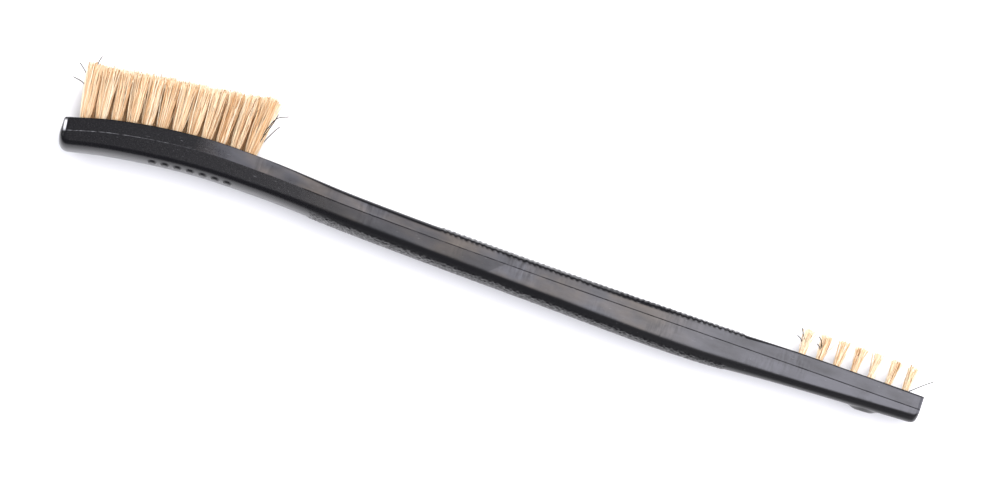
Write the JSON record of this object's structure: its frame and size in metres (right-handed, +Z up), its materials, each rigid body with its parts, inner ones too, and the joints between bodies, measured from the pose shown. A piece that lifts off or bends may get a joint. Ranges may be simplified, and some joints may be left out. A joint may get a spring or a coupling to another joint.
{
  "type": "wire brush",
  "caption": "Slim double-ended hand wire brush: a gently S-curved plastic handle with a wide block of bronze wire tufts at one end and a narrow row of short tufts at the other.",
  "frame": {"origin": "on the surface that the brush lies on, under the middle of its bounding box", "axes": "+X along the handle from the large head to the small head, +Y the way the bristles point, +Z up across the width of the handle"},
  "size_m": [0.178, 0.0224, 0.0115],
  "materials": {
    "handle_plastic": "satin",
    "bristle_wire": "satin",
    "anchor_brass": "satin"
  },
  "bodies": {
    "root": {"handle": "handle_plastic", "large_lower_01_tuft": "bristle_wire", "large_lower_02_tuft": "bristle_wire", "large_lower_03_tuft": "bristle_wire", "large_lower_04_tuft": "bristle_wire", "large_lower_05_tuft": "bristle_wire", "large_lower_06_tuft": "bristle_wire", "large_lower_07_tuft": "bristle_wire", "large_lower_08_tuft": "bristle_wire", "large_lower_09_tuft": "bristle_wire", "large_lower_10_tuft": "bristle_wire", "large_lower_11_tuft": "bristle_wire", "large_lower_12_tuft": "bristle_wire", "large_middle_01_tuft": "bristle_wire", "large_middle_02_tuft": "bristle_wire", "large_middle_03_tuft": "bristle_wire", "large_middle_04_tuft": "bristle_wire", "large_middle_05_tuft": "bristle_wire", "large_middle_06_tuft": "bristle_wire", "large_middle_07_tuft": "bristle_wire", "large_middle_08_tuft": "bristle_wire", "large_middle_09_tuft": "bristle_wire", "large_middle_10_tuft": "bristle_wire", "large_middle_11_tuft": "bristle_wire", "large_upper_01_tuft": "bristle_wire", "large_upper_02_tuft": "bristle_wire", "large_upper_03_tuft": "bristle_wire", "large_upper_04_tuft": "bristle_wire", "large_upper_05_tuft": "bristle_wire", "large_upper_06_tuft": "bristle_wire", "large_upper_07_tuft": "bristle_wire", "large_upper_08_tuft": "bristle_wire", "large_upper_09_tuft": "bristle_wire", "large_upper_10_tuft": "bristle_wire", "large_upper_11_tuft": "bristle_wire", "large_upper_12_tuft": "bristle_wire", "small_01_tuft": "bristle_wire", "small_02_tuft": "bristle_wire", "small_03_tuft": "bristle_wire", "small_04_tuft": "bristle_wire", "small_05_tuft": "bristle_wire", "small_06_tuft": "bristle_wire", "small_07_tuft": "bristle_wire", "small_01_anchor": "anchor_brass", "small_02_anchor": "anchor_brass", "small_03_anchor": "anchor_brass", "small_04_anchor": "anchor_brass", "small_05_anchor": "anchor_brass", "small_06_anchor": "anchor_brass", "small_07_anchor": "anchor_brass"}
  },
  "joints": []
}
